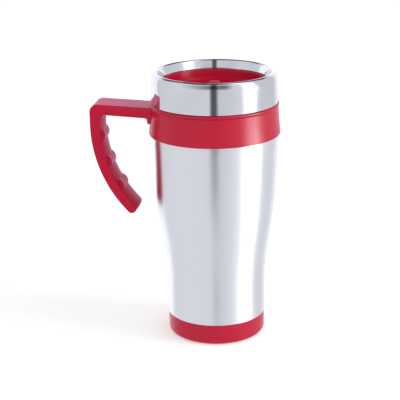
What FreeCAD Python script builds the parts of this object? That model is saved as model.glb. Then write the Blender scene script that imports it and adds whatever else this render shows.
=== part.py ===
import FreeCAD, Part
import math
import os

# Insulated travel mug: steel outer shell, air gap, plastic liner, polished rim, hook handle and a push-in lid
# with a sliding drinking-hole cover.
#
# Millimetres, +Z up. The origin is the centre of the base face that stands on the table. The mug's axis is Z,
# the handle points along -X, and the drinking hole is on the -Y side of the lid.

# ---- whole mug
total_height = 178.1
collar_radius = 42.85

# ---- outer shell, outer surface
foot_radius = 32.75
foot_top_z = 34.0
shell_bottom_z = 14.3
shell_top_z = 142.5
shell_straight_z = 136.0
shell_wall = 0.6
waist_lower_radius = 185.0
waist_upper_radius = 348.0
waist_lean = 9.9
side_lean = 2.6

# ---- polished rim, outer surface of the rolled sheet
rim_wall = 0.6
rim_bottom_z = 158.3
rim_bottom_radius = 41.25
rim_side_lean = 1.8
rim_side_length = 13.1
rim_shoulder_radius = 14.0
rim_shoulder_turn = 23.2
rim_lip_radius = 1.2
funnel_lean = 24.0
throat_radius = 34.4
foot_inner_radius = 33.0
rim_foot_z = 159.6

# ---- collar band
collar_bottom_z = 137.6
collar_middle_radius = 42.0
collar_middle_z = 146.8
collar_top_radius = 41.5
collar_groove_z = 155.9
collar_groove_radius = 41.2
collar_bead_radius = 41.95
collar_top_z = 157.9
collar_bore_radius = 38.6
collar_spigot_radius = 40.0
collar_spigot_top_z = 167.0
collar_lower_spigot_z = 135.8
collar_ledge_radius = 36.2
collar_ledge_z = 157.0
collar_ledge_height = 2.2

# ---- handle
handle_width = 21.0
handle_seat_x = -40.0
leg_outer_radius = 85.5
leg_thickness = 6.2
leg_centre_x = 4.9
leg_centre_z = 143.2
leg_sweep = 45.7
tip_radius = 2.7
arm_top_z = 155.05
arm_bottom_z = 147.9
arm_slope_top = 0.052
arm_slope_bottom = 0.064
root_plate_bottom_z = 144.3
root_plate_thickness = 2.9
grip_crown = 2.1
bump_angles = (5.5, 18.5, 31.35)
bump_height = 2.8
bump_shoulder = 1.9
bump_length = 10.2
bump_side_inset = 1.6
handle_screw_spacing = 9.0
handle_screw_z = 151.3

# ---- liner
liner_wall = 1.6
liner_foot_radius = 27.9
liner_floor_corner = 6.0
liner_waist_radius = 200.0
liner_waist_lean = 8.4
liner_side_lean = 0.7
liner_floor_z = 14.0
liner_flange_radius = 38.4
liner_flange_height = 2.2

# ---- base
base_radius = 32.35
base_contact_radius = 29.4
base_spigot_radius = 32.05
base_spigot_top_z = 24.0
base_spigot_bore = 30.0
base_recess_radius = 25.5
base_recess_depth = 1.6
base_floor_top_z = 4.6
base_boss_top_z = 5.2

# ---- lid
lid_radius = 34.05
lid_bottom_z = 160.3
lid_top_z = 171.8
dish_rim_radius = 33.1
dish_floor_radius = 28.8
dish_corner = 3.6
dish_wall_lean = 17.0
dish_floor_z = 164.8
lid_floor_thickness = 1.8
lid_skirt_radius = 30.4
gasket_groove_z = 163.2
gasket_groove_height = 3.0
gasket_groove_radius = 32.4
drink_hole_y = -22.5
drink_hole_length = 14.0
drink_hole_width = 7.6
slot_width = 6.0

# ---- slider, closed
slider_half_width = 8.0
slider_front_radius = 28.3
slider_back_y = 7.0
slider_thickness = 1.7
slider_gap = 0.25
slider_travel = 11.0
tab_top_z = 171.0
neck_front_y = -8.5
neck_back_y = -1.5
neck_half_width = 2.7
clip_thickness = 1.4

Z_AXIS = FreeCAD.Vector(0, 0, 1)
ORIGIN = FreeCAD.Vector(0, 0, 0)


def at(radius, z):
    """A point of an axial section, in the XZ plane."""
    return FreeCAD.Vector(radius, 0, z)


def line(start, end):
    return Part.makeLine(start, end)


def arc(start, middle, end):
    return Part.Arc(start, middle, end).toShape()


class Outline:
    """Straight and round stretches of an axial section, each leaving the way the last one ended.

    The heading is in degrees: 0 is up, 90 is towards the axis, 180 is down and -90 is outwards.
    """

    def __init__(self, radius, z, heading):
        self.radius = radius
        self.z = z
        self.heading = heading
        self.edges = []

    def point_ahead(self, length, turned_by=0.0):
        angle = math.radians(self.heading + turned_by)
        return self.radius - length * math.sin(angle), self.z + length * math.cos(angle)

    def ahead(self, length):
        end = self.point_ahead(length)
        self.edges.append(line(at(self.radius, self.z), at(*end)))
        self.radius, self.z = end

    def bend(self, bend_radius, turn):
        """An arc. A positive turn is towards the axis on the way up."""
        chord = 2 * bend_radius * math.sin(math.radians(abs(turn)) / 2)
        half_chord = 2 * bend_radius * math.sin(math.radians(abs(turn)) / 4)
        middle = self.point_ahead(half_chord, turn / 4)
        end = self.point_ahead(chord, turn / 2)
        self.edges.append(arc(at(self.radius, self.z), at(*middle), at(*end)))
        self.radius, self.z = end
        self.heading += turn


def turned(edges):
    """The solid of revolution about Z of a closed outline."""
    face = Part.Face(Part.Wire(Part.__sortEdges__(edges)))
    return solid_of(face.revolve(ORIGIN, Z_AXIS, 360))


def turned_polygon(corners):
    """As turned, for a straight-sided outline given as (radius, z) pairs."""
    points = [at(r, z) for r, z in corners]
    return turned([line(a, b) for a, b in zip(points, points[1:] + points[:1])])


def turned_sheet(outline, wall):
    """A sheet of constant thickness whose one surface is the open outline turned about Z."""
    wire = Part.Wire(outline.edges)
    face = wire.makeOffset2D(wall, join=0, fill=True, openResult=True)
    return solid_of(face.revolve(ORIGIN, Z_AXIS, 360))


def solid_of(shape):
    solid = shape.Solids[0] if shape.Solids else Part.Solid(shape.Shells[0])
    if solid.Volume < 0:
        solid.reverse()
    return solid


def cylinder(radius, bottom_z, top_z, x=0.0, y=0.0):
    return Part.makeCylinder(radius, top_z - bottom_z, FreeCAD.Vector(x, y, bottom_z), Z_AXIS)


def box(x_low, x_high, y_low, y_high, z_low, z_high):
    corner = FreeCAD.Vector(x_low, y_low, z_low)
    return Part.makeBox(x_high - x_low, y_high - y_low, z_high - z_low, corner)


def stadium(length, width, bottom_z, top_z, y):
    """A slot-shaped block with its length along X, centred on x = 0 at the given y."""
    half = (length - width) / 2
    block = box(-half, half, y - width / 2, y + width / 2, bottom_z, top_z)
    ends = [cylinder(width / 2, bottom_z, top_z, x, y) for x in (-half, half)]
    return block.multiFuse(ends).removeSplitter()


def edges_where(shape, test):
    return [edge for edge in shape.Edges if test(edge)]


def is_circle_at(edge, radius, z):
    """True for a full circle about the mug's axis."""
    box_of = edge.BoundBox
    round_edge = isinstance(edge.Curve, Part.Circle) and abs(edge.Curve.Radius - radius) < 0.01
    return round_edge and abs(box_of.ZMin - z) < 0.01 and abs(box_of.ZMax - z) < 0.01


def runs_along_y(edge, x, z):
    """True for a straight edge across the handle's width at the given place."""
    box_of = edge.BoundBox
    straight = box_of.XLength < 0.01 and box_of.ZLength < 0.01
    return straight and abs(box_of.XMin - x) < 0.05 and abs(box_of.ZMin - z) < 0.05


# ---- body of the mug

def shell_outline():
    """The shell's outer surface: a straight foot, a smooth waist, a leaning side and a straight top."""
    side = Outline(foot_radius, shell_bottom_z, 0)
    side.ahead(foot_top_z - shell_bottom_z)
    side.bend(waist_lower_radius, -waist_lean)
    side.bend(waist_upper_radius, waist_lean - side_lean)
    last_bend = 100.0
    bend_height = last_bend * math.sin(math.radians(side_lean))
    side.ahead((shell_straight_z - bend_height - side.z) / math.cos(math.radians(side_lean)))
    side.bend(last_bend, side_lean)
    side.ahead(shell_top_z - side.z)
    return side


shell_top_radius = shell_outline().radius


def outer_shell():
    return turned_sheet(shell_outline(), shell_wall)


def rim_ring():
    """Straight side, rounded shoulder and crest, a funnel down to the throat, and a foot turned inwards."""
    rim = Outline(rim_bottom_radius, rim_bottom_z, rim_side_lean)
    rim.ahead(rim_side_length)
    rim.bend(rim_shoulder_radius, rim_shoulder_turn)
    crest_bend = (total_height - rim.z) / (1 - math.sin(math.radians(rim.heading)))
    rim.bend(crest_bend, 90.0 - rim.heading)
    rim.bend(rim_lip_radius, 90.0 - funnel_lean)
    lean = math.radians(funnel_lean)
    throat_bend = 1.5
    funnel_end = throat_radius + throat_bend * (1 - math.cos(lean))
    rim.ahead((rim.radius - funnel_end) / math.sin(lean))
    rim.bend(throat_bend, funnel_lean)
    corner = 0.8
    rim.ahead(rim.z - rim_foot_z - rim_wall - corner)
    rim.bend(corner, -90.0)
    rim.ahead(rim.radius - foot_inner_radius)
    return turned_sheet(rim, rim_wall)


def collar():
    """Band with a bead under the rim, a groove for the shell's edge and a spigot up inside the rim."""
    groove_inner = shell_top_radius - shell_wall - 0.1
    groove_outer = shell_top_radius + 0.05
    seal_inner = groove_inner - 1.3
    seal_low = collar_bottom_z - 0.2
    seal_high = collar_bottom_z + 1.4
    ledge_low = collar_ledge_z - collar_ledge_height
    lip = 0.4
    band_low = at(collar_radius, collar_bottom_z + lip)
    band_middle = at(collar_middle_radius, collar_middle_z)
    band_high = at(collar_top_radius, collar_groove_z - lip)
    skirt_edge = at(collar_radius - lip, collar_bottom_z)
    bead_low = at(collar_groove_radius, collar_groove_z)
    bead_middle = at(collar_bead_radius, (collar_groove_z + collar_top_z) / 2)
    bead_high = at(collar_groove_radius, collar_top_z)
    inside = [
        bead_high,
        at(collar_spigot_radius, collar_top_z),
        at(collar_spigot_radius, collar_spigot_top_z - 0.8),
        at(collar_spigot_radius - 0.8, collar_spigot_top_z),
        at(collar_bore_radius, collar_spigot_top_z),
        at(collar_bore_radius, collar_ledge_z),
        at(collar_ledge_radius, collar_ledge_z),
        at(collar_ledge_radius, ledge_low + 0.6),
        at(collar_bore_radius, ledge_low),
        at(collar_bore_radius, collar_lower_spigot_z),
        at(groove_inner - 0.6, collar_lower_spigot_z),
        at(groove_inner, collar_lower_spigot_z + 0.6),
        at(groove_inner, seal_low),
        at(seal_inner, seal_low),
        at(seal_inner, seal_high),
        at(groove_inner, seal_high),
        at(groove_inner, shell_top_z + 0.1),
        at(groove_outer, shell_top_z + 0.1),
        at(groove_outer, collar_bottom_z),
        skirt_edge,
    ]
    corner = lip * (1 - math.sqrt(0.5))
    edges = [line(a, b) for a, b in zip(inside, inside[1:])]
    edges.append(arc(skirt_edge, at(collar_radius - corner, collar_bottom_z + corner), band_low))
    edges.append(arc(band_low, band_middle, band_high))
    edges.append(line(band_high, bead_low))
    edges.append(arc(bead_low, bead_middle, bead_high))
    band = turned(edges)
    half = handle_width / 2
    seat = box(-50, handle_seat_x, -half, half, root_plate_bottom_z, arm_top_z)
    screw_pocket = box(-collar_bore_radius, -30, -9, 9, ledge_low - 0.1, collar_ledge_z + 0.1)
    band = band.cut(seat).cut(screw_pocket)
    for y in screw_rows():
        band = band.cut(along_x(1.6, -43, -30, y, handle_screw_z))
    return solid_of(band)


def shell_seal():
    """O-ring in the collar spigot's groove, just clear of the shell."""
    outer = shell_top_radius - shell_wall - 0.05
    section = 0.63
    return solid_of(Part.makeTorus(outer - section, section, at(0, collar_bottom_z + 0.6), Z_AXIS))


def liner_outline():
    """The liner's inner surface from the centre of its floor to its mouth."""
    side = Outline(0, liner_floor_z, -90)
    side.ahead(liner_foot_radius - liner_floor_corner)
    side.bend(liner_floor_corner, 90.0)
    side.ahead(foot_top_z - side.z)
    side.bend(liner_waist_radius, -liner_waist_lean)
    side.bend(liner_waist_radius, liner_waist_lean - liner_side_lean)
    mouth_z = collar_ledge_z + liner_flange_height
    side.ahead((mouth_z - side.z) / math.cos(math.radians(liner_side_lean)))
    return side


liner_mouth_radius = liner_outline().radius


def liner():
    """Inner cup with a flange at its mouth and a screw boss under its floor."""
    cup = turned_sheet(liner_outline(), -liner_wall)
    flange_top = collar_ledge_z + liner_flange_height
    seal_inner = liner_mouth_radius + 0.6
    seal_outer = seal_inner + 1.4
    flange = turned_polygon([
        (liner_mouth_radius + 0.5 * liner_wall, collar_ledge_z),
        (liner_flange_radius, collar_ledge_z),
        (liner_flange_radius, flange_top),
        (seal_outer, flange_top),
        (seal_outer, flange_top - 0.6),
        (seal_inner, flange_top - 0.6),
        (seal_inner, flange_top - 1.4),
        (liner_mouth_radius + 0.5 * liner_wall, flange_top - 1.4),
    ])
    groove = turned_polygon([
        (seal_inner, flange_top - 0.6),
        (seal_outer, flange_top - 0.6),
        (seal_outer, flange_top + 1),
        (seal_inner, flange_top + 1),
    ])
    boss = cylinder(5.0, base_boss_top_z, liner_floor_z - 0.5 * liner_wall)
    core = cylinder(1.5, base_boss_top_z - 0.1, liner_floor_z - liner_wall - 0.2)
    return solid_of(cup.fuse(flange).cut(groove).fuse(boss).cut(core).removeSplitter())


def liner_seal():
    """Flat ring between the liner's flange and the rim's turned-in foot."""
    low = collar_ledge_z + liner_flange_height - 0.6
    inner = liner_mouth_radius + 0.6
    return turned_polygon([(inner, low), (inner + 1.4, low), (inner + 1.4, rim_foot_z), (inner, rim_foot_z)])


def liner_spacer():
    """Foam ring that carries the liner's floor on the base cap."""
    top = liner_floor_z - liner_wall
    return turned_polygon([(15, base_floor_top_z), (21, base_floor_top_z), (21, top), (15, top)])


# ---- handle

def along_x(radius, x_low, x_high, y, z):
    start = FreeCAD.Vector(x_low, y, z)
    return Part.makeCylinder(radius, x_high - x_low, start, FreeCAD.Vector(1, 0, 0))


def screw_rows():
    return (-handle_screw_spacing / 2, handle_screw_spacing / 2)


def leg_point(radius, angle):
    """A point about the centre of the leg's curve. Angle 0 is level and outwards, and it grows downwards."""
    turn = math.radians(angle)
    return at(leg_centre_x - radius * math.cos(turn), leg_centre_z - radius * math.sin(turn))


def across_handle(edges, width):
    """The flat outline extruded to the given width about the XZ plane."""
    face = Part.Face(Part.Wire(Part.__sortEdges__(edges)))
    face.translate(FreeCAD.Vector(0, -width / 2, 0))
    return solid_of(face.extrude(FreeCAD.Vector(0, width, 0)))


def outside_grip():
    """The space beyond the grip's inner face, which is crowned across the handle's width."""
    edge = leg_outer_radius - leg_thickness
    crown = edge - grip_crown
    half = handle_width / 2
    crown_radius = (half**2 + grip_crown**2) / (2 * grip_crown)
    reach = half + 1.0
    flank = crown + crown_radius - math.sqrt(crown_radius**2 - reach**2)
    section = [(flank, -reach), (crown, 0), (flank, reach), (crown - 3, reach), (crown - 3, -reach)]
    low, middle, high, far_high, far_low = [
        FreeCAD.Vector(leg_centre_x - radius, y, leg_centre_z) for radius, y in section
    ]
    face = Part.Face(Part.Wire([
        arc(low, middle, high), line(high, far_high), line(far_high, far_low), line(far_low, low)
    ]))
    round_part = face.revolve(FreeCAD.Vector(leg_centre_x, 0, leg_centre_z), FreeCAD.Vector(0, -1, 0), 60)
    straight_part = face.extrude(FreeCAD.Vector(0, 0, arm_bottom_z - leg_centre_z))
    return solid_of(round_part).fuse(solid_of(straight_part)).removeSplitter()


def finger_bump(angle):
    inner = leg_outer_radius - leg_thickness
    half = math.degrees(bump_length / 2 / inner)
    low = leg_point(inner + 0.6, angle + half)
    high = leg_point(inner + 0.6, angle - half)
    crest = leg_point(inner - bump_height, angle)
    return across_handle([arc(low, crest, high), line(high, low)], handle_width - 2 * bump_side_inset)


def handle():
    """Arm, curved leg with a free rounded tip, finger bumps, and a root plate against the collar."""
    inner = leg_outer_radius - leg_thickness - grip_crown
    outer_x = leg_centre_x - leg_outer_radius
    inner_x = leg_centre_x - inner
    reach = handle_seat_x - outer_x
    inner_reach = handle_seat_x - inner_x
    top_root = at(handle_seat_x, arm_top_z)
    top_corner = at(outer_x, arm_top_z + arm_slope_top * reach)
    inner_corner = at(inner_x, arm_bottom_z + arm_slope_bottom * inner_reach)
    plate_x = handle_seat_x - root_plate_thickness
    plate_corner = at(plate_x, arm_bottom_z + arm_slope_bottom * root_plate_thickness)
    plate_low = at(plate_x, root_plate_bottom_z)
    root_low = at(handle_seat_x, root_plate_bottom_z)
    outer_tip = leg_point(leg_outer_radius, leg_sweep)
    inner_tip = leg_point(inner, leg_sweep)
    edges = [
        line(top_root, top_corner),
        line(top_corner, leg_point(leg_outer_radius, 0)),
        arc(leg_point(leg_outer_radius, 0), leg_point(leg_outer_radius, leg_sweep / 2), outer_tip),
        line(outer_tip, inner_tip),
        arc(inner_tip, leg_point(inner, leg_sweep / 2), leg_point(inner, 0)),
        line(leg_point(inner, 0), inner_corner),
        line(inner_corner, plate_corner),
        line(plate_corner, plate_low),
        line(plate_low, root_low),
        line(root_low, top_root),
    ]
    body = across_handle(edges, handle_width)
    rounds = (
        (top_corner, 5.2),
        (outer_tip, 3.0),
        (inner_corner, 2.0),
        (plate_corner, 1.6),
        (plate_low, 1.4),
    )
    for corner, radius in rounds:
        body = body.makeFillet(radius, edges_where(body, lambda e, c=corner: runs_along_y(e, c.x, c.z)))
    body = solid_of(body.cut(outside_grip()))
    body = body.makeFillet(tip_radius, edges_where(body, is_inner_tip_edge))
    body = body.makeFillet(0.7, edges_where(body, is_side_edge))
    for angle in bump_angles:
        bump = finger_bump(angle)
        bump = bump.makeFillet(bump_shoulder, edges_where(bump, is_bump_shoulder))
        body = body.fuse(bump)
    for y in screw_rows():
        body = body.cut(along_x(1.3, handle_seat_x - 12, handle_seat_x + 1, y, handle_screw_z))
    return solid_of(body)


def is_side_edge(edge):
    """True for an edge of the handle's two flat sides, away from the collar seat."""
    box_of = edge.BoundBox
    on_side = box_of.YLength < 0.01 and abs(abs(box_of.YMin) - handle_width / 2) < 0.01
    return on_side and box_of.XMin < handle_seat_x - 0.01


def is_inner_tip_edge(edge):
    """True for the edge where the grip's inner face meets the flat end of the leg."""
    end_turn = math.radians(leg_sweep)
    middle = edge.valueAt((edge.FirstParameter + edge.LastParameter) / 2)
    across = math.cos(end_turn) * (middle.z - leg_centre_z) - math.sin(end_turn) * (middle.x - leg_centre_x)
    reach = math.hypot(middle.x - leg_centre_x, middle.z - leg_centre_z)
    return abs(across) < 0.01 and reach < leg_outer_radius - leg_thickness / 2 and edge.BoundBox.YLength > 10


def is_bump_shoulder(edge):
    """True for the round edges at the two ends of a finger bump."""
    box_of = edge.BoundBox
    return box_of.YLength < 0.01 and isinstance(edge.Curve, Part.Circle)


def handle_screws():
    """Two pan-head screws from inside the collar into the handle's arm."""
    screws = []
    for y in screw_rows():
        shank = along_x(1.3, handle_seat_x - 11, -collar_bore_radius, y, handle_screw_z)
        head = along_x(2.6, -screw_seat(), -screw_seat() + 1.8, y, handle_screw_z)
        head = head.makeFillet(0.6, edges_where(head, lambda e: e.BoundBox.XMin > -screw_seat() + 1.7))
        screw = shank.fuse(head)
        for across, tall in ((1.3, 0.3), (0.3, 1.3)):
            slot = box(-screw_seat() + 1.0, -screw_seat() + 1.9, y - across, y + across,
                       handle_screw_z - tall, handle_screw_z + tall)
            screw = screw.cut(slot)
        screws.append(solid_of(screw.removeSplitter()))
    return Part.makeCompound(screws)


def screw_seat():
    """Distance of the screw heads' seat from the mug's axis plane, on the curved bore of the collar."""
    return math.sqrt(collar_bore_radius**2 - (handle_screw_spacing / 2 + 2.6) ** 2)


# ---- base

def base_cap():
    """Cap under the shell: rounded foot, shoulder for the shell's edge, and a spigot with a seal groove."""
    shoulder = shell_bottom_z - 0.1
    groove_low = 17.4
    groove_high = groove_low + 2.1
    groove_inner = base_spigot_radius - 1.3
    foot_edge = at(base_contact_radius, 0)
    foot_middle = at(31.5, 0.95)
    side_low = at(base_radius - 0.1, 3.2)
    corners = [
        side_low,
        at(base_radius, shoulder - 0.2),
        at(base_radius - 0.2, shoulder),
        at(base_spigot_radius, shoulder),
        at(base_spigot_radius, groove_low),
        at(groove_inner, groove_low),
        at(groove_inner, groove_high),
        at(base_spigot_radius, groove_high),
        at(base_spigot_radius, base_spigot_top_z - 0.8),
        at(base_spigot_radius - 0.8, base_spigot_top_z),
        at(base_spigot_bore, base_spigot_top_z),
        at(base_spigot_bore, base_floor_top_z),
        at(6.0, base_floor_top_z),
        at(6.0, base_boss_top_z),
        at(1.75, base_boss_top_z),
        at(1.75, base_recess_depth + 1.9),
        at(3.8, base_recess_depth + 1.9),
        at(3.8, base_recess_depth),
        at(base_recess_radius, base_recess_depth),
        at(base_recess_radius, 0.4),
        at(base_recess_radius + 0.4, 0),
        foot_edge,
    ]
    edges = [line(a, b) for a, b in zip(corners, corners[1:])]
    edges.append(arc(foot_edge, foot_middle, side_low))
    return turned(edges)


def base_seal():
    """O-ring in the base cap's groove, just clear of the shell."""
    section = 0.66
    outer = foot_radius - shell_wall - 0.05
    return solid_of(Part.makeTorus(outer - section, section, at(0, 18.45), Z_AXIS))


def base_screw():
    """Pan-head screw up through the cap's floor into the liner's boss."""
    head_top = base_recess_depth + 1.9
    shank = cylinder(1.5, head_top - 0.5, liner_floor_z - liner_wall - 0.9)
    head = cylinder(3.5, base_recess_depth + 0.1, head_top)
    head = head.makeFillet(0.6, edges_where(head, lambda e: is_circle_at(e, 3.5, base_recess_depth + 0.1)))
    slots = [
        box(-1.8, 1.8, -0.35, 0.35, base_recess_depth, base_recess_depth + 1.0),
        box(-0.35, 0.35, -1.8, 1.8, base_recess_depth, base_recess_depth + 1.0),
    ]
    return solid_of(shank.fuse(head).cut(slots[0]).cut(slots[1]).removeSplitter())


def base_pad():
    """Non-slip disc in the cap's recess, level with the foot, with a rounded edge and a shallow ring groove."""
    edge = base_recess_radius - 0.3
    disc = cylinder(edge, 0, base_recess_depth)
    disc = disc.makeFillet(0.4, edges_where(disc, lambda e: is_circle_at(e, edge, 0)))
    groove = turned_polygon([(19.5, -0.1), (20.5, -0.1), (20.3, 0.5), (19.7, 0.5)])
    return solid_of(disc.cut(groove))


# ---- lid

def lid_body():
    """Dished plug with a gasket groove, drinking hole, slider slot and vent."""
    floor_low = dish_floor_z - lid_floor_thickness
    groove_top = gasket_groove_z + gasket_groove_height
    land = at(dish_rim_radius, lid_top_z)
    dish_low = at(dish_floor_radius, dish_floor_z)
    corners = [
        dish_low,
        at(0, dish_floor_z),
        at(0, floor_low),
        at(lid_skirt_radius, floor_low),
        at(lid_skirt_radius, lid_bottom_z),
        at(foot_inner_radius + 0.5, lid_bottom_z),
        at(lid_radius, lid_bottom_z + 1.2),
        at(lid_radius, gasket_groove_z),
        at(gasket_groove_radius, gasket_groove_z),
        at(gasket_groove_radius, groove_top),
        at(lid_radius, groove_top),
        at(lid_radius, lid_top_z - 0.5),
        at(lid_radius - 0.5, lid_top_z),
        land,
    ]
    edges = [line(a, b) for a, b in zip(corners, corners[1:])]
    wall = Outline(dish_floor_radius, dish_floor_z, -90)
    wall.bend(dish_corner, 90.0 - dish_wall_lean)
    edges.extend(wall.edges)
    edges.append(line(at(wall.radius, wall.z), land))
    plug = turned(edges)
    slot_low = neck_front_y - 0.5
    slot_high = neck_back_y + slider_travel + 0.5
    half = slot_width / 2
    tools = [
        stadium(drink_hole_length, drink_hole_width, floor_low - 1, dish_floor_z + 1, drink_hole_y),
        box(-half, half, slot_low, slot_high, floor_low - 1, dish_floor_z + 1),
        cylinder(1.0, floor_low - 1, dish_floor_z + 1, 15.0, -16.0),
    ]
    for tool in tools:
        plug = plug.cut(tool)
    mouth = edges_where(plug, is_drink_hole_top)
    return solid_of(plug.makeFillet(0.5, mouth))


def is_drink_hole_top(edge):
    """True for the upper edge of the drinking hole."""
    box_of = edge.BoundBox
    level = abs(box_of.ZMin - dish_floor_z) < 0.01 and abs(box_of.ZMax - dish_floor_z) < 0.01
    near = abs(edge.CenterOfMass.y - drink_hole_y) < drink_hole_width / 2 + 0.1
    return level and near and abs(edge.CenterOfMass.x) < drink_hole_length / 2


def lid_gasket():
    """Silicone ring with two lips, just clear of the throat."""
    low = gasket_groove_z + 0.05
    high = gasket_groove_z + gasket_groove_height - 0.05
    inner = gasket_groove_radius
    lip = throat_radius - 0.12
    return turned_polygon([
        (inner, low),
        (lid_radius - 0.35, low),
        (lip, low + 0.45),
        (lip, low + 0.85),
        (lid_radius - 0.35, low + 1.3),
        (lid_radius - 0.35, high - 1.3),
        (lip, high - 0.85),
        (lip, high - 0.45),
        (lid_radius - 0.35, high),
        (inner, high),
    ])


def slider_plate_bottom():
    return dish_floor_z + slider_gap


def lid_slider():
    """Plate over the drinking hole with a thumb tab, a neck through the slot and a recess for its seal."""
    low = slider_plate_bottom()
    high = low + slider_thickness
    plate = box(-slider_half_width, slider_half_width, -30, slider_back_y, low, high)
    plate = plate.common(cylinder(slider_front_radius, low, high))
    upright = edges_where(plate, lambda e: e.BoundBox.ZLength > slider_thickness - 0.01)
    plate = plate.makeFillet(2.0, upright)
    plate = plate.makeFillet(0.5, edges_where(plate, lambda e: e.BoundBox.ZMin > high - 0.01))
    tab = thumb_tab(high - 0.3)
    neck = box(-neck_half_width, neck_half_width, neck_front_y, neck_back_y, neck_bottom_z(), low + 0.5)
    recess = seal_block(low - 0.1, low + 0.8)
    bore = cylinder(1.0, neck_bottom_z() - 0.1, low + 0.9, 0, neck_centre_y())
    return solid_of(plate.fuse(tab).cut(recess).fuse(neck).cut(bore).removeSplitter())


def thumb_tab(bottom_z):
    """A low block that leans back, with soft edges, across the slider just behind its neck."""
    half = 3.6
    outline = [
        FreeCAD.Vector(-half, -2.6, bottom_z),
        FreeCAD.Vector(-half, 3.2, bottom_z),
        FreeCAD.Vector(-half, 2.6, tab_top_z),
        FreeCAD.Vector(-half, -0.6, tab_top_z),
    ]
    face = Part.Face(Part.makePolygon(outline + outline[:1]))
    tab = solid_of(face.extrude(FreeCAD.Vector(2 * half, 0, 0)))
    return tab.makeFillet(0.8, edges_where(tab, lambda e: e.BoundBox.ZMax > tab_top_z - 0.01))


def neck_bottom_z():
    return dish_floor_z - lid_floor_thickness - 0.3


def neck_centre_y():
    return (neck_front_y + neck_back_y) / 2


def seal_block(low, high):
    return stadium(drink_hole_length + 1.4, drink_hole_width + 2.2, low, high, drink_hole_y)


def slider_seal():
    """Soft pad set in the plate's underside over the drinking hole."""
    low = slider_plate_bottom() - 0.15
    pad = seal_block(low, slider_plate_bottom() + 0.8)
    return solid_of(pad)


def slider_clip():
    """Plate under the lid's floor that holds the slider's neck in the slot."""
    high = neck_bottom_z()
    low = high - clip_thickness
    plate = box(-5.5, 5.5, neck_front_y - 3.0, neck_back_y + 3.0, low, high)
    upright = edges_where(plate, lambda e: e.BoundBox.ZLength > clip_thickness - 0.01)
    plate = plate.makeFillet(2.0, upright)
    plate = plate.makeFillet(0.4, edges_where(plate, lambda e: e.BoundBox.ZMax < low + 0.01))
    return solid_of(plate.cut(cylinder(1.3, low - 1, high + 1, 0, neck_centre_y())))


def slider_screw():
    """Small screw up through the clip into the slider's neck."""
    head_top = neck_bottom_z() - clip_thickness
    y = neck_centre_y()
    shank = cylinder(1.0, head_top - 0.3, slider_plate_bottom() + 0.6, 0, y)
    head = cylinder(2.0, head_top - 0.9, head_top, 0, y)
    slot = box(-1.2, 1.2, y - 0.25, y + 0.25, head_top - 1.0, head_top - 0.5)
    return solid_of(shank.fuse(head).cut(slot).removeSplitter())


NODES = {
    "outer_shell": outer_shell,
    "rim_ring": rim_ring,
    "collar": collar,
    "shell_seal": shell_seal,
    "liner": liner,
    "liner_seal": liner_seal,
    "liner_spacer": liner_spacer,
    "handle": handle,
    "handle_screws": handle_screws,
    "base_cap": base_cap,
    "base_seal": base_seal,
    "base_screw": base_screw,
    "base_pad": base_pad,
    "lid_body": lid_body,
    "lid_gasket": lid_gasket,
    "lid_slider": lid_slider,
    "slider_seal": slider_seal,
    "slider_clip": slider_clip,
    "slider_screw": slider_screw,
}

os.makedirs("parts", exist_ok=True)
for name, make in NODES.items():
    shape = make()
    shape.exportStep("parts/" + name + ".step")
    limits = shape.optimalBoundingBox(False)
    state = "valid" if shape.isValid() else "NOT VALID"
    print(f"{name:14} {state} {len(shape.Solids)} solid, {shape.Volume:9.1f} mm3, "
          f"x {limits.XMin:.2f} {limits.XMax:.2f}, z {limits.ZMin:.2f} {limits.ZMax:.2f}")
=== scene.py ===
import math

import bpy
from mathutils import Matrix, Vector

# Looks of the insulated travel mug: brushed and polished steel, satin polypropylene, silicone and rubber.
# Every visible piece of the mug is a CAD node, so this script adds only materials and a plain studio.

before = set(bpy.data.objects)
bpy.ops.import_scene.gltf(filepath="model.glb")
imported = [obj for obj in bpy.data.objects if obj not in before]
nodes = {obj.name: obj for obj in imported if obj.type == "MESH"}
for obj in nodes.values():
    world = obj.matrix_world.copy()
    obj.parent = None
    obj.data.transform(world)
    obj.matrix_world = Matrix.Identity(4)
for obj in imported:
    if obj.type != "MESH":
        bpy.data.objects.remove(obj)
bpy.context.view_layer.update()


# ---------------------------------------------------------------- node helpers

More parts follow.
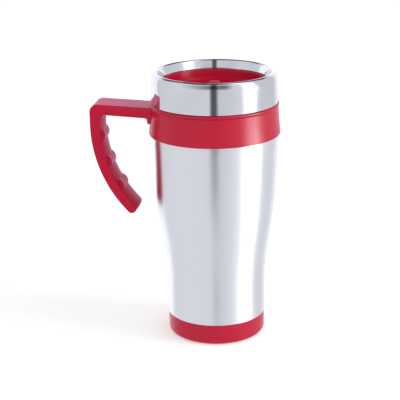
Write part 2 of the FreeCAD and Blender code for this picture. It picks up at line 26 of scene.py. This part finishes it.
class Graph:
    """Short names for building a material's or a world's node tree."""

    def __init__(self, tree):
        self.tree = tree
        self.tree.nodes.clear()

    def add(self, kind, inputs=None, **settings):
        node = self.tree.nodes.new(kind)
        for name, value in settings.items():
            setattr(node, name, value)
        for name, value in (inputs or {}).items():
            if isinstance(value, bpy.types.NodeSocket):
                self.tree.links.new(value, node.inputs[name])
            else:
                node.inputs[name].default_value = value
        return node

    def math(self, operation, first, second=0.0):
        return self.add("ShaderNodeMath", {0: first, 1: second}, operation=operation).outputs[0]

    def product(self, first, *others):
        for other in others:
            first = self.math("MULTIPLY", first, other)
        return first

    def ramp(self, factor, stops):
        """A grey or colour ramp. Each stop is (position, value) with a number or an (r, g, b) value."""
        node = self.add("ShaderNodeValToRGB", {"Fac": factor})
        elements = node.color_ramp.elements
        while len(elements) < len(stops):
            elements.new(0.5)
        for element, (position, value) in zip(elements, stops):
            element.position = position
            shade = value if isinstance(value, tuple) else (value, value, value)
            element.color = (*shade, 1)
        return node.outputs["Color"]

    def noise(self, vector, scale, detail=3.0, roughness=0.5):
        inputs = {"Vector": vector, "Scale": scale, "Detail": detail, "Roughness": roughness}
        return self.add("ShaderNodeTexNoise", inputs).outputs["Fac"]

    def position(self):
        return self.add("ShaderNodeTexCoord").outputs["Object"]

    def axes(self, vector):
        """The x, y and z of a vector."""
        return tuple(self.add("ShaderNodeSeparateXYZ", {"Vector": vector}).outputs)

    def step(self, value, low, high):
        """0 at low and 1 at high, with a smooth change between them."""
        inputs = {"Value": value, "From Min": low, "From Max": high, "To Min": 0.0, "To Max": 1.0}
        return self.add("ShaderNodeMapRange", inputs, interpolation_type="SMOOTHSTEP").outputs["Result"]

    def spread(self, value, low, high):
        """Noise, most of which lies between 0.3 and 0.7, mapped to the range low to high."""
        inputs = {"Value": value, "From Min": 0.3, "From Max": 0.7, "To Min": low, "To Max": high}
        return self.add("ShaderNodeMapRange", inputs).outputs["Result"]


def new_material(name):
    material = bpy.data.materials.new(name)
    material.use_nodes = True
    return material, Graph(material.node_tree)


def surface(graph, **inputs):
    """A Principled shader joined to the output. Underscores stand for spaces in socket names."""
    shader = graph.add("ShaderNodeBsdfPrincipled", {k.replace("_", " "): v for k, v in inputs.items()})
    graph.add("ShaderNodeOutputMaterial", {"Surface": shader.outputs["BSDF"]})


def around_axis(graph):
    """(angle about Z in turns, height in metres, distance from Z) of the point being shaded."""
    x, y, z = graph.axes(graph.position())
    turns = graph.math("DIVIDE", graph.math("ARCTAN2", y, x), 2 * math.pi)
    distance = graph.math("SQRT", graph.math("ADD", graph.product(x, x), graph.product(y, y)))
    return turns, z, distance


def lathe_marks(graph, angle_scale, height_scale):
    """Fine lines that run round the Z axis: noise with a coarse scale across and a fine one in height."""
    x, y, z = graph.axes(graph.position())
    stretched = graph.add("ShaderNodeCombineXYZ", {
        "X": graph.product(x, angle_scale),
        "Y": graph.product(y, angle_scale),
        "Z": graph.product(z, height_scale),
    })
    return graph.noise(stretched.outputs["Vector"], 1.0, 2.0)


# ---------------------------------------------------------------- materials

RED = (0.45, 0.0012, 0.024)
# A paler red painted on sharp edges as a highlight, and how much of it is mixed in.
EDGE_HIGHLIGHT_RED = (0.72, 0.10, 0.14, 1)
EDGE_HIGHLIGHT_SHARE = 0.22
SHEEN = (1.0, 0.28, 0.8, 1)
WHITE = (1, 1, 1, 1)


def tints(colour, darker, lighter):
    """A colour's darker and lighter shade, as a ramp over noise."""
    return [(0.3, tuple(c * darker for c in colour)), (0.7, tuple(c * lighter for c in colour))]


def brushed_steel():
    """Satin steel with brush lines round the body, so that reflections smear along its height."""
    material, g = new_material("brushed_steel_shell")
    lines = lathe_marks(g, 6.0, 2600.0)
    bands = lathe_marks(g, 5.0, 260.0)
    cloud = g.noise(g.position(), 40.0)
    bump = g.add("ShaderNodeBump", {"Height": lines, "Strength": 0.03, "Distance": 0.00003})
    mixed = g.math("ADD", g.product(bands, 0.6), g.product(cloud, 0.4))
    tangent = g.add("ShaderNodeTangent", direction_type="RADIAL", axis="Z")
    tint = g.ramp(lines, [(0.25, (0.85, 0.855, 0.865)), (0.75, (0.88, 0.885, 0.895))])
    surface(g, Base_Color=tint, Metallic=1.0, Roughness=g.spread(mixed, 0.28, 0.32), Anisotropic=0.85,
            Anisotropic_Rotation=0.25, Normal=bump.outputs["Normal"], Tangent=tangent.outputs["Tangent"])
    return material


def polished_steel():
    """Mirror-polished steel with faint buffing lines and a little haze."""
    material, g = new_material("polished_steel_rim")
    lines = lathe_marks(g, 20.0, 5000.0)
    haze = g.noise(g.position(), 60.0, 4.0)
    bump = g.add("ShaderNodeBump", {"Height": lines, "Strength": 0.012, "Distance": 0.00002})
    tint = g.ramp(haze, [(0.3, (0.74, 0.745, 0.755)), (0.7, (0.79, 0.795, 0.805))])
    surface(g, Base_Color=tint, Metallic=1.0, Roughness=g.spread(haze, 0.045, 0.09),
            Normal=bump.outputs["Normal"])
    return material


def red_plastic(name, roughness, grain, shine, sheen=0.0, tint=WHITE):
    """Coloured polypropylene: satin moulded skin, slight colour drift, and edges painted paler as a
    highlight.

    Grain is the strength of the skin's bump, shine the specular level, and tint the shine's colour.
    """
    material, g = new_material(name)
    place = g.position()
    fine = g.noise(place, 9000.0, 2.0)
    mould = g.noise(place, 1400.0, 3.0)
    drift = g.noise(place, 30.0, 2.0)
    skin = g.math("ADD", g.product(fine, 0.5), g.product(mould, 0.5))
    bump = g.add("ShaderNodeBump", {"Height": skin, "Strength": grain, "Distance": 0.00006})
    edge = g.add("ShaderNodeNewGeometry").outputs["Pointiness"]
    # Painted highlight: sharp edges, found by pointiness, are made paler.
    lit_edge = g.ramp(edge, [(0.53, 0.0), (0.60, 1.0)])
    colour = g.ramp(drift, tints(RED, 0.95, 1.04))
    edge_highlighted = g.add("ShaderNodeMix", {"Factor": g.product(lit_edge, EDGE_HIGHLIGHT_SHARE), "A": colour, "B": EDGE_HIGHLIGHT_RED},
                  data_type="RGBA")
    surface(g, Base_Color=edge_highlighted.outputs["Result"], Normal=bump.outputs["Normal"],
            Roughness=g.spread(mould, roughness - 0.04, roughness + 0.05), IOR=1.49,
            Specular_IOR_Level=shine, Specular_Tint=tint,
            Sheen_Weight=sheen, Sheen_Roughness=0.3, Sheen_Tint=SHEEN)
    return material


def moulded_plastic(name, colour, roughness=0.5):
    """Plain moulded plastic with a fine eroded texture."""
    material, g = new_material(name)
    place = g.position()
    grain = g.noise(place, 2500.0, 4.0)
    bump = g.add("ShaderNodeBump", {"Height": grain, "Strength": 0.12, "Distance": 0.00008})
    drift = g.noise(place, 45.0)
    tint = g.ramp(drift, tints(colour, 0.85, 1.2))
    surface(g, Base_Color=tint, Roughness=g.spread(grain, roughness - 0.06, roughness + 0.08),
            Normal=bump.outputs["Normal"], IOR=1.49)
    return material


def silicone(name, colour):
    """Soft translucent silicone with a matt bloom."""
    material, g = new_material(name)
    bloom = g.noise(g.position(), 300.0, 4.0)
    bump = g.add("ShaderNodeBump", {"Height": bloom, "Strength": 0.06, "Distance": 0.0001})
    tint = g.ramp(bloom, tints(colour, 0.93, 1.05))
    surface(g, Base_Color=tint, Roughness=g.spread(bloom, 0.42, 0.58), Normal=bump.outputs["Normal"],
            IOR=1.41, Subsurface_Weight=0.25, Subsurface_Scale=0.002)
    return material


def rubber(name, colour):
    """Dense matt rubber with dust in its pores."""
    material, g = new_material(name)
    place = g.position()
    pores = g.noise(place, 1800.0, 5.0, 0.7)
    dust = g.noise(place, 90.0, 3.0)
    bump = g.add("ShaderNodeBump", {"Height": pores, "Strength": 0.25, "Distance": 0.0001})
    tint = g.ramp(dust, [(0.35, colour), (0.75, tuple(c * 1.8 for c in colour))])
    surface(g, Base_Color=tint, Roughness=g.spread(pores, 0.62, 0.8), Normal=bump.outputs["Normal"],
            IOR=1.52)
    return material


def foam():
    """Closed-cell foam: pale, with small bubbles."""
    material, g = new_material("closed_cell_foam")
    cells = g.add("ShaderNodeTexVoronoi", {"Vector": g.position(), "Scale": 1100.0}).outputs["Distance"]
    bump = g.add("ShaderNodeBump", {"Height": cells, "Strength": 0.5, "Distance": 0.0002})
    tint = g.ramp(cells, [(0.1, (0.80, 0.79, 0.74)), (0.7, (0.58, 0.57, 0.53))])
    surface(g, Base_Color=tint, Roughness=0.85, Normal=bump.outputs["Normal"])
    return material


def zinc_steel():
    """Plated screw steel, mottled and with a faint yellow cast."""
    material, g = new_material("plated_screw_steel")
    marks = g.noise(g.position(), 2600.0, 4.0)
    bump = g.add("ShaderNodeBump", {"Height": marks, "Strength": 0.1, "Distance": 0.00005})
    tint = g.ramp(marks, [(0.3, (0.52, 0.52, 0.50)), (0.7, (0.70, 0.69, 0.65))])
    surface(g, Base_Color=tint, Metallic=1.0, Roughness=g.spread(marks, 0.22, 0.38),
            Normal=bump.outputs["Normal"])
    return material


def dress(node_name, material):
    """Puts one material on a CAD node in place of what model.glb gave it."""
    mesh = nodes[node_name].data
    mesh.materials.clear()
    mesh.materials.append(material)


red_band = red_plastic("red_polypropylene", roughness=0.30, grain=0.025, shine=0.36,
                       tint=(1.0, 0.85, 0.92, 1))
red_grip = red_plastic("red_polypropylene_handle", roughness=0.36, grain=0.07, shine=0.22, sheen=0.7,
                       tint=(1.0, 0.7, 0.9, 1))
red_lid = red_plastic("red_polypropylene_lid", roughness=0.24, grain=0.03, shine=0.12)
dark_seal = rubber("dark_seal_rubber", (0.018, 0.018, 0.019))
pale_silicone = silicone("pale_silicone", (0.66, 0.67, 0.68))
screw_metal = zinc_steel()

FINISHES = {
    "outer_shell": brushed_steel(),
    "rim_ring": polished_steel(),
    "collar": red_band,
    "handle": red_grip,
    "base_cap": red_band,
    "lid_body": red_lid,
    "lid_slider": red_lid,
    "liner": moulded_plastic("black_liner_plastic", (0.016, 0.016, 0.017), 0.42),
    "slider_clip": moulded_plastic("black_clip_plastic", (0.03, 0.03, 0.031)),
    "lid_gasket": pale_silicone,
    "slider_seal": pale_silicone,
    "shell_seal": dark_seal,
    "liner_seal": dark_seal,
    "base_seal": dark_seal,
    "base_pad": rubber("grey_pad_rubber", (0.03, 0.03, 0.032)),
    "liner_spacer": foam(),
    "handle_screws": screw_metal,
    "base_screw": screw_metal,
    "slider_screw": screw_metal,
}
for node_name, finish in FINISHES.items():
    dress(node_name, finish)


# ---------------------------------------------------------------- studio

# Places and distances are in metres, and the sensor and lens in millimetres.
CAMERA_DISTANCE = 0.800
CAMERA_AZIMUTH = math.radians(7.3)
CAMERA_ELEVATION = math.radians(17.98)
CAMERA_ROLL = math.radians(-0.85)
AIM_HEIGHT = 0.09085
AIM_SIDEWAYS = -0.01024
SENSOR = 36.0
LENS = 108.4


def add_camera():
    """The camera stands off the -Y side, turned by the azimuth towards +X, and looks down at the mug."""
    sin_a, cos_a = math.sin(CAMERA_AZIMUTH), math.cos(CAMERA_AZIMUTH)
    sin_e, cos_e = math.sin(CAMERA_ELEVATION), math.cos(CAMERA_ELEVATION)
    right = Vector((cos_a, sin_a, 0))
    back = Vector((sin_a * cos_e, -cos_a * cos_e, sin_e))
    up = back.cross(right)
    data = bpy.data.cameras.new("camera")
    data.sensor_width = SENSOR
    data.lens = LENS
    camera = bpy.data.objects.new("camera", data)
    bpy.context.scene.collection.objects.link(camera)
    place = Vector((0, 0, AIM_HEIGHT)) + back * CAMERA_DISTANCE + right * AIM_SIDEWAYS
    turned = Matrix((right, up, back)).transposed().to_4x4()
    camera.matrix_world = Matrix.Translation(place) @ turned @ Matrix.Rotation(CAMERA_ROLL, 4, "Z")
    bpy.context.scene.camera = camera


FLOOR_SIDE = 12.0
FLOOR_GLOW = 0.36


def add_floor():
    """A white paper floor. Its place in reflections is taken by the lower half of the dome."""
    bpy.ops.mesh.primitive_plane_add(size=FLOOR_SIDE)
    floor = bpy.context.object
    floor.name = "studio_floor"
    material, g = new_material("white_floor")
    paper = g.noise(g.position(), 300.0)
    tint = g.ramp(paper, [(0.3, 0.74), (0.7, 0.76)])
    surface(g, Base_Color=tint, Roughness=0.9, Specular_IOR_Level=0.0, Emission_Color=WHITE,
            Emission_Strength=FLOOR_GLOW)
    floor.data.materials.append(material)
    floor.visible_glossy = False


# The dome's pattern. Each list gives a share or a brightness against degrees to the right of the camera, seen
# from the middle of the dome. Each pair of heights is where a change starts and ends, with 0 level with the
# middle of the dome and 1 straight overhead.
FAR_LEFT_WALL = 1.15
FAR_WALL = 0.95
LEFT_WALL = 0.80
RIGHT_WALL = 0.72
WALLS = [
    (-180, FAR_WALL), (-162, FAR_WALL), (-152, FAR_LEFT_WALL), (-124, FAR_LEFT_WALL),
    (-117, 0.95 * LEFT_WALL), (-75, LEFT_WALL), (-10, LEFT_WALL),
    (10, RIGHT_WALL), (35, 1.1 * RIGHT_WALL), (52, 1.3 * RIGHT_WALL), (74, 1.25 * RIGHT_WALL),
    (86, 1.03 * RIGHT_WALL), (131, RIGHT_WALL), (136, FAR_WALL), (180, FAR_WALL),
]
# The far wall is brighter above the middle of the dome.
FAR_GAIN = [(-180, 0.2), (-162, 0.2), (-152, 0.0), (136, 0.0), (150, 0.2), (180, 0.2)]
FAR_GAIN_HEIGHTS = (0.0, 0.12)
# A soft box stands on the right.
BOX_LIGHT = 1.3
BOX = [(46, 0.0), (58, 0.7), (64, 1.0), (70, 0.6), (78, 0.0)]
BOX_HEIGHTS = (-0.40, 0.05)
# The walls leave a dark gap where the camera stands.
GAP = [(-10, 0.0), (-5.5, 0.86), (1.5, 0.86), (7, 0.0)]
GAP_HEIGHTS = (-0.36, -0.06)
# A dark bar crosses the upper part of the walls on the camera's side.
BAR = [(-66, 0.0), (-30, 0.45), (-10, 0.72), (20, 0.72), (34, 0.0)]
BAR_FOOT_HEIGHTS = (0.22, 0.34)
BAR_TOP_HEIGHTS = (0.55, 0.43)
# The walls and the soft box end at these heights, below a dim ceiling.
SIDE_TOP = 0.62
FAR_TOP = 0.40
BOX_TOP = 0.95
WALL_TOPS = [
    (-180, FAR_TOP), (-105, FAR_TOP), (-95, SIDE_TOP), (45, SIDE_TOP),
    (55, BOX_TOP), (95, BOX_TOP), (110, FAR_TOP), (180, FAR_TOP),
]
TOP_FADE = (0.10, -0.03)
CEILING = 0.10
DOME_RADIUS = 0.42
DOME_HEIGHT = 0.10
DOME_TINT = (0.965, 0.98, 1.06, 1)


def panel_brightness(g):
    """Brightness of the dome at the point being shaded."""
    turns, z, distance = around_axis(g)
    camera_turn = math.degrees(CAMERA_AZIMUTH) / 360 - 0.25
    place = g.math("FRACT", g.math("ADD", turns, 1.5 - camera_turn))
    height = g.math("DIVIDE", g.math("ARCTAN2", z, distance), math.pi / 2)

    def around(stops):
        """A ramp round the dome. The camera's direction is at its middle."""
        return g.ramp(place, [(0.5 + angle / 360, value) for angle, value in stops])

    far_gain = g.product(g.step(height, *FAR_GAIN_HEIGHTS), around(FAR_GAIN))
    box = g.product(around(BOX), g.step(height, *BOX_HEIGHTS), BOX_LIGHT)
    gap = g.product(around(GAP), g.step(height, *GAP_HEIGHTS))
    bar = g.product(around(BAR), g.step(height, *BAR_FOOT_HEIGHTS), g.step(height, *BAR_TOP_HEIGHTS))
    below_top = g.step(g.math("SUBTRACT", height, around(WALL_TOPS)), *TOP_FADE)
    panels = g.product(g.math("ADD", g.math("ADD", around(WALLS), far_gain), box),
                       g.math("SUBTRACT", 1.0, gap), g.math("SUBTRACT", 1.0, bar), below_top)
    ceiling = g.product(g.math("SUBTRACT", 1.0, below_top), CEILING)
    return g.math("ADD", panels, ceiling)


def add_dome():
    """A dome of bright walls, a soft box and a dim ceiling that only reflections see."""
    middle = (0, 0, DOME_HEIGHT)
    bpy.ops.mesh.primitive_uv_sphere_add(segments=96, ring_count=48, radius=DOME_RADIUS, location=middle)
    dome = bpy.context.object
    dome.name = "studio_dome"
    material, g = new_material("studio_panels")
    light = g.add("ShaderNodeEmission", {"Color": DOME_TINT, "Strength": panel_brightness(g)})
    g.add("ShaderNodeOutputMaterial", {"Surface": light.outputs["Emission"]})
    dome.data.materials.append(material)
    for ray in ("camera", "diffuse", "transmission", "volume_scatter", "shadow"):
        setattr(dome, "visible_" + ray, False)


# Where the lights stand and what they are aimed at, in metres, and their power in watts.
LIGHTS_AIM = Vector((0, 0, 0.09))
KEY_PLACE = Vector((0.94, -0.17, 0.95))
KEY_POWER = 6.4
KEY_SIZE = (0.6, 0.6)
SIDE_PLACE = Vector((0.92, -0.22, 0.15))
SIDE_POWER = 15.0
SIDE_SIZE = (0.36, 0.45)


def add_light(name, place, power, size):
    """A soft rectangular light of (width, height) at the given place, turned towards the mug."""
    data = bpy.data.lights.new(name, "AREA")
    data.shape = "RECTANGLE"
    data.size, data.size_y = size
    data.energy = power
    light = bpy.data.objects.new(name, data)
    bpy.context.scene.collection.objects.link(light)
    turn = (LIGHTS_AIM - place).to_track_quat("-Z", "Y").to_matrix().to_4x4()
    light.matrix_world = Matrix.Translation(place) @ turn
    return light


def add_lights():
    """A high light for the faint shadow on the left, and a low one for the satin highlight on the right."""
    add_light("key_light", KEY_PLACE, KEY_POWER, KEY_SIZE)
    side = add_light("side_light", SIDE_PLACE, SIDE_POWER, SIDE_SIZE)
    side.visible_diffuse = False


LEVEL_LIGHT = 1.12
OVERHEAD_LIGHT = 0.60
# The vertical part of the direction at which the dimming starts.
DIMMING_START = 0.3


def add_world():
    """White near the horizon, and dimmer overhead."""
    world = bpy.data.worlds.new("studio_world")
    bpy.context.scene.world = world
    world.use_nodes = True
    g = Graph(world.node_tree)
    direction = g.add("ShaderNodeTexCoord").outputs["Generated"]
    height = g.axes(direction)[2]
    inputs = {"Value": height, "From Min": DIMMING_START, "From Max": 1.0, "To Min": LEVEL_LIGHT,
              "To Max": OVERHEAD_LIGHT}
    strength = g.add("ShaderNodeMapRange", inputs, interpolation_type="SMOOTHSTEP").outputs["Result"]
    light = g.add("ShaderNodeBackground", {"Color": WHITE, "Strength": strength})
    g.add("ShaderNodeOutputWorld", {"Surface": light.outputs["Background"]})


add_camera()
add_floor()
add_dome()
add_lights()
add_world()
bpy.context.scene.view_settings.view_transform = "Standard"
